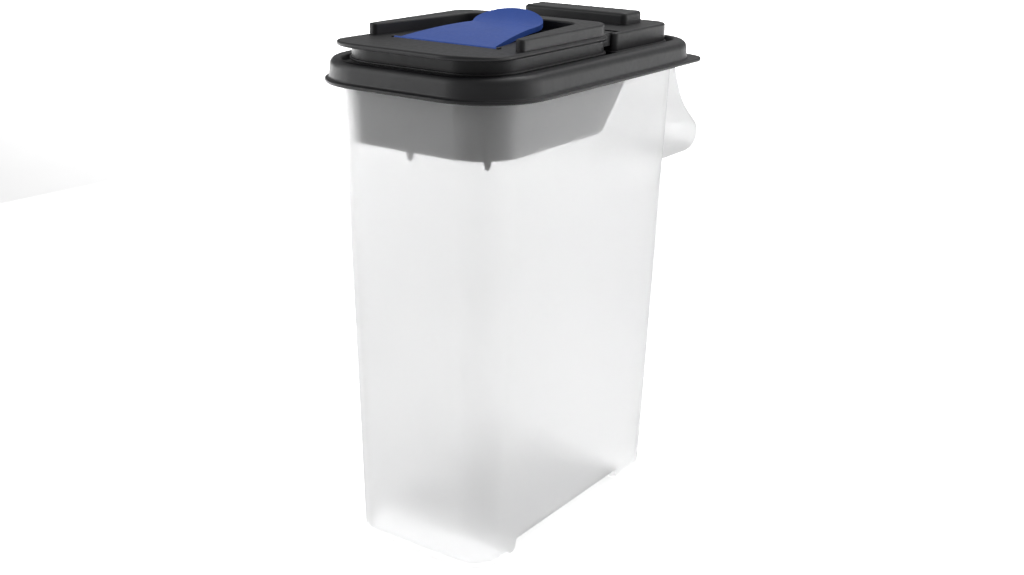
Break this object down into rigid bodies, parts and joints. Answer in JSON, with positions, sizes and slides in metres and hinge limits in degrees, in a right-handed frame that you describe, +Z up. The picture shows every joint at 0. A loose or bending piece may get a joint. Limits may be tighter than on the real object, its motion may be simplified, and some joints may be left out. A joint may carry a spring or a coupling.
{
  "type": "pet food bin",
  "caption": "Tall translucent dry food bin with moulded rear grip, lift-off black lid with bag collar, and flip-up pour cap with a blue pull-up lever.",
  "frame": {"origin": "centre of the bounding box at the standing surface", "axes": "+Z up; +Y from the pour side towards the rear grip; +X across the bin, to the right seen from the pour side"},
  "size_m": [0.207, 0.368, 0.4516],
  "materials": {
    "translucent_plastic": "milky translucent polypropylene, satin moulded surface",
    "black_plastic": "fine moulded texture, satin",
    "collar_plastic": "smooth satin",
    "blue_plastic": "satin gloss",
    "seal": "soft matte silicone",
    "pin_steel": "drawn steel wire"
  },
  "bodies": {
    "bin_body": {"bin": "translucent_plastic"},
    "lid_body": {"lid": "black_plastic", "lid_seal": "seal", "bag_collar": "collar_plastic", "rear_block": "black_plastic", "hinge_pin_left": "pin_steel", "hinge_pin_right": "pin_steel"},
    "cap_body": {"pour_cap": "black_plastic", "pour_seal": "seal", "lever_pin": "pin_steel"},
    "lever_body": {"lever": "blue_plastic"}
  },
  "joints": [
    {"name": "lid_lift", "type": "slide", "parent": "bin_body", "child": "lid_body", "axis": [0, 0, 1], "range_m": [0, 0.1]},
    {"name": "cap_flip", "type": "hinge", "parent": "lid_body", "child": "cap_body", "pos_m": [0, 0.0228, 0.4276], "axis": [-1, 0, 0], "range_deg": [0, 105]},
    {"name": "lever_lift", "type": "hinge", "parent": "cap_body", "child": "lever_body", "pos_m": [0, -0.1202, 0.433], "axis": [1, 0, 0], "range_deg": [0, 95]}
  ]
}
